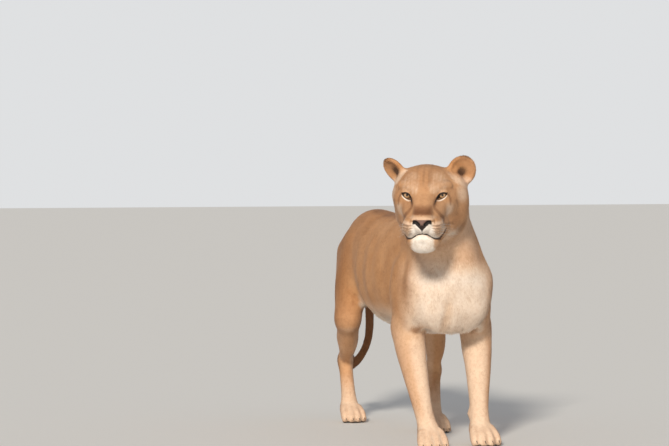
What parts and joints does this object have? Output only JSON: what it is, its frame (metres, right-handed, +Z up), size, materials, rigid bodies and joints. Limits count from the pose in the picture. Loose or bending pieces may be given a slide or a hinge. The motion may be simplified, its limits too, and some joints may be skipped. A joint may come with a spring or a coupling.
{
  "type": "lioness",
  "caption": "Life-size still lioness standing in mid-step, its head turned and raised a little towards the viewer, parted into head, neck, trunk, legs and tail.",
  "frame": {"origin": "on the floor under the middle of the whole animal's box", "axes": "+Z up, -Y ahead along the trunk, +X towards the lioness's left"},
  "size_m": [0.5182, 1.9158, 1.1295],
  "materials": {
    "tan_coat": "short flat fur, golden tan",
    "pale_coat": "soft cream fur",
    "rust_coat": "short fur with a reddish tint",
    "white_coat": "white beard hair",
    "ear_coat": "short orange fur",
    "nose_leather": "bare moist skin",
    "tail_tuft_hair": "dark brown hair",
    "eye": "wet amber eye"
  },
  "bodies": {
    "root": {"belly": "tan_coat", "chest": "pale_coat", "ear_left": "ear_coat", "ear_right": "ear_coat", "eye_left": "eye", "eye_right": "eye", "forearm_left": "tan_coat", "forearm_right": "tan_coat", "forepaw_left": "pale_coat", "forepaw_right": "pale_coat", "head": "tan_coat", "hindpaw_left": "pale_coat", "hindpaw_right": "pale_coat", "jaw": "white_coat", "neck": "tan_coat", "nose": "nose_leather", "rump": "rust_coat", "shank_left": "tan_coat", "shank_right": "tan_coat", "shoulder_left": "tan_coat", "shoulder_right": "tan_coat", "tail_middle": "tan_coat", "tail_root": "tan_coat", "tail_tuft": "tail_tuft_hair", "thigh_left": "rust_coat", "thigh_right": "rust_coat"}
  },
  "joints": []
}
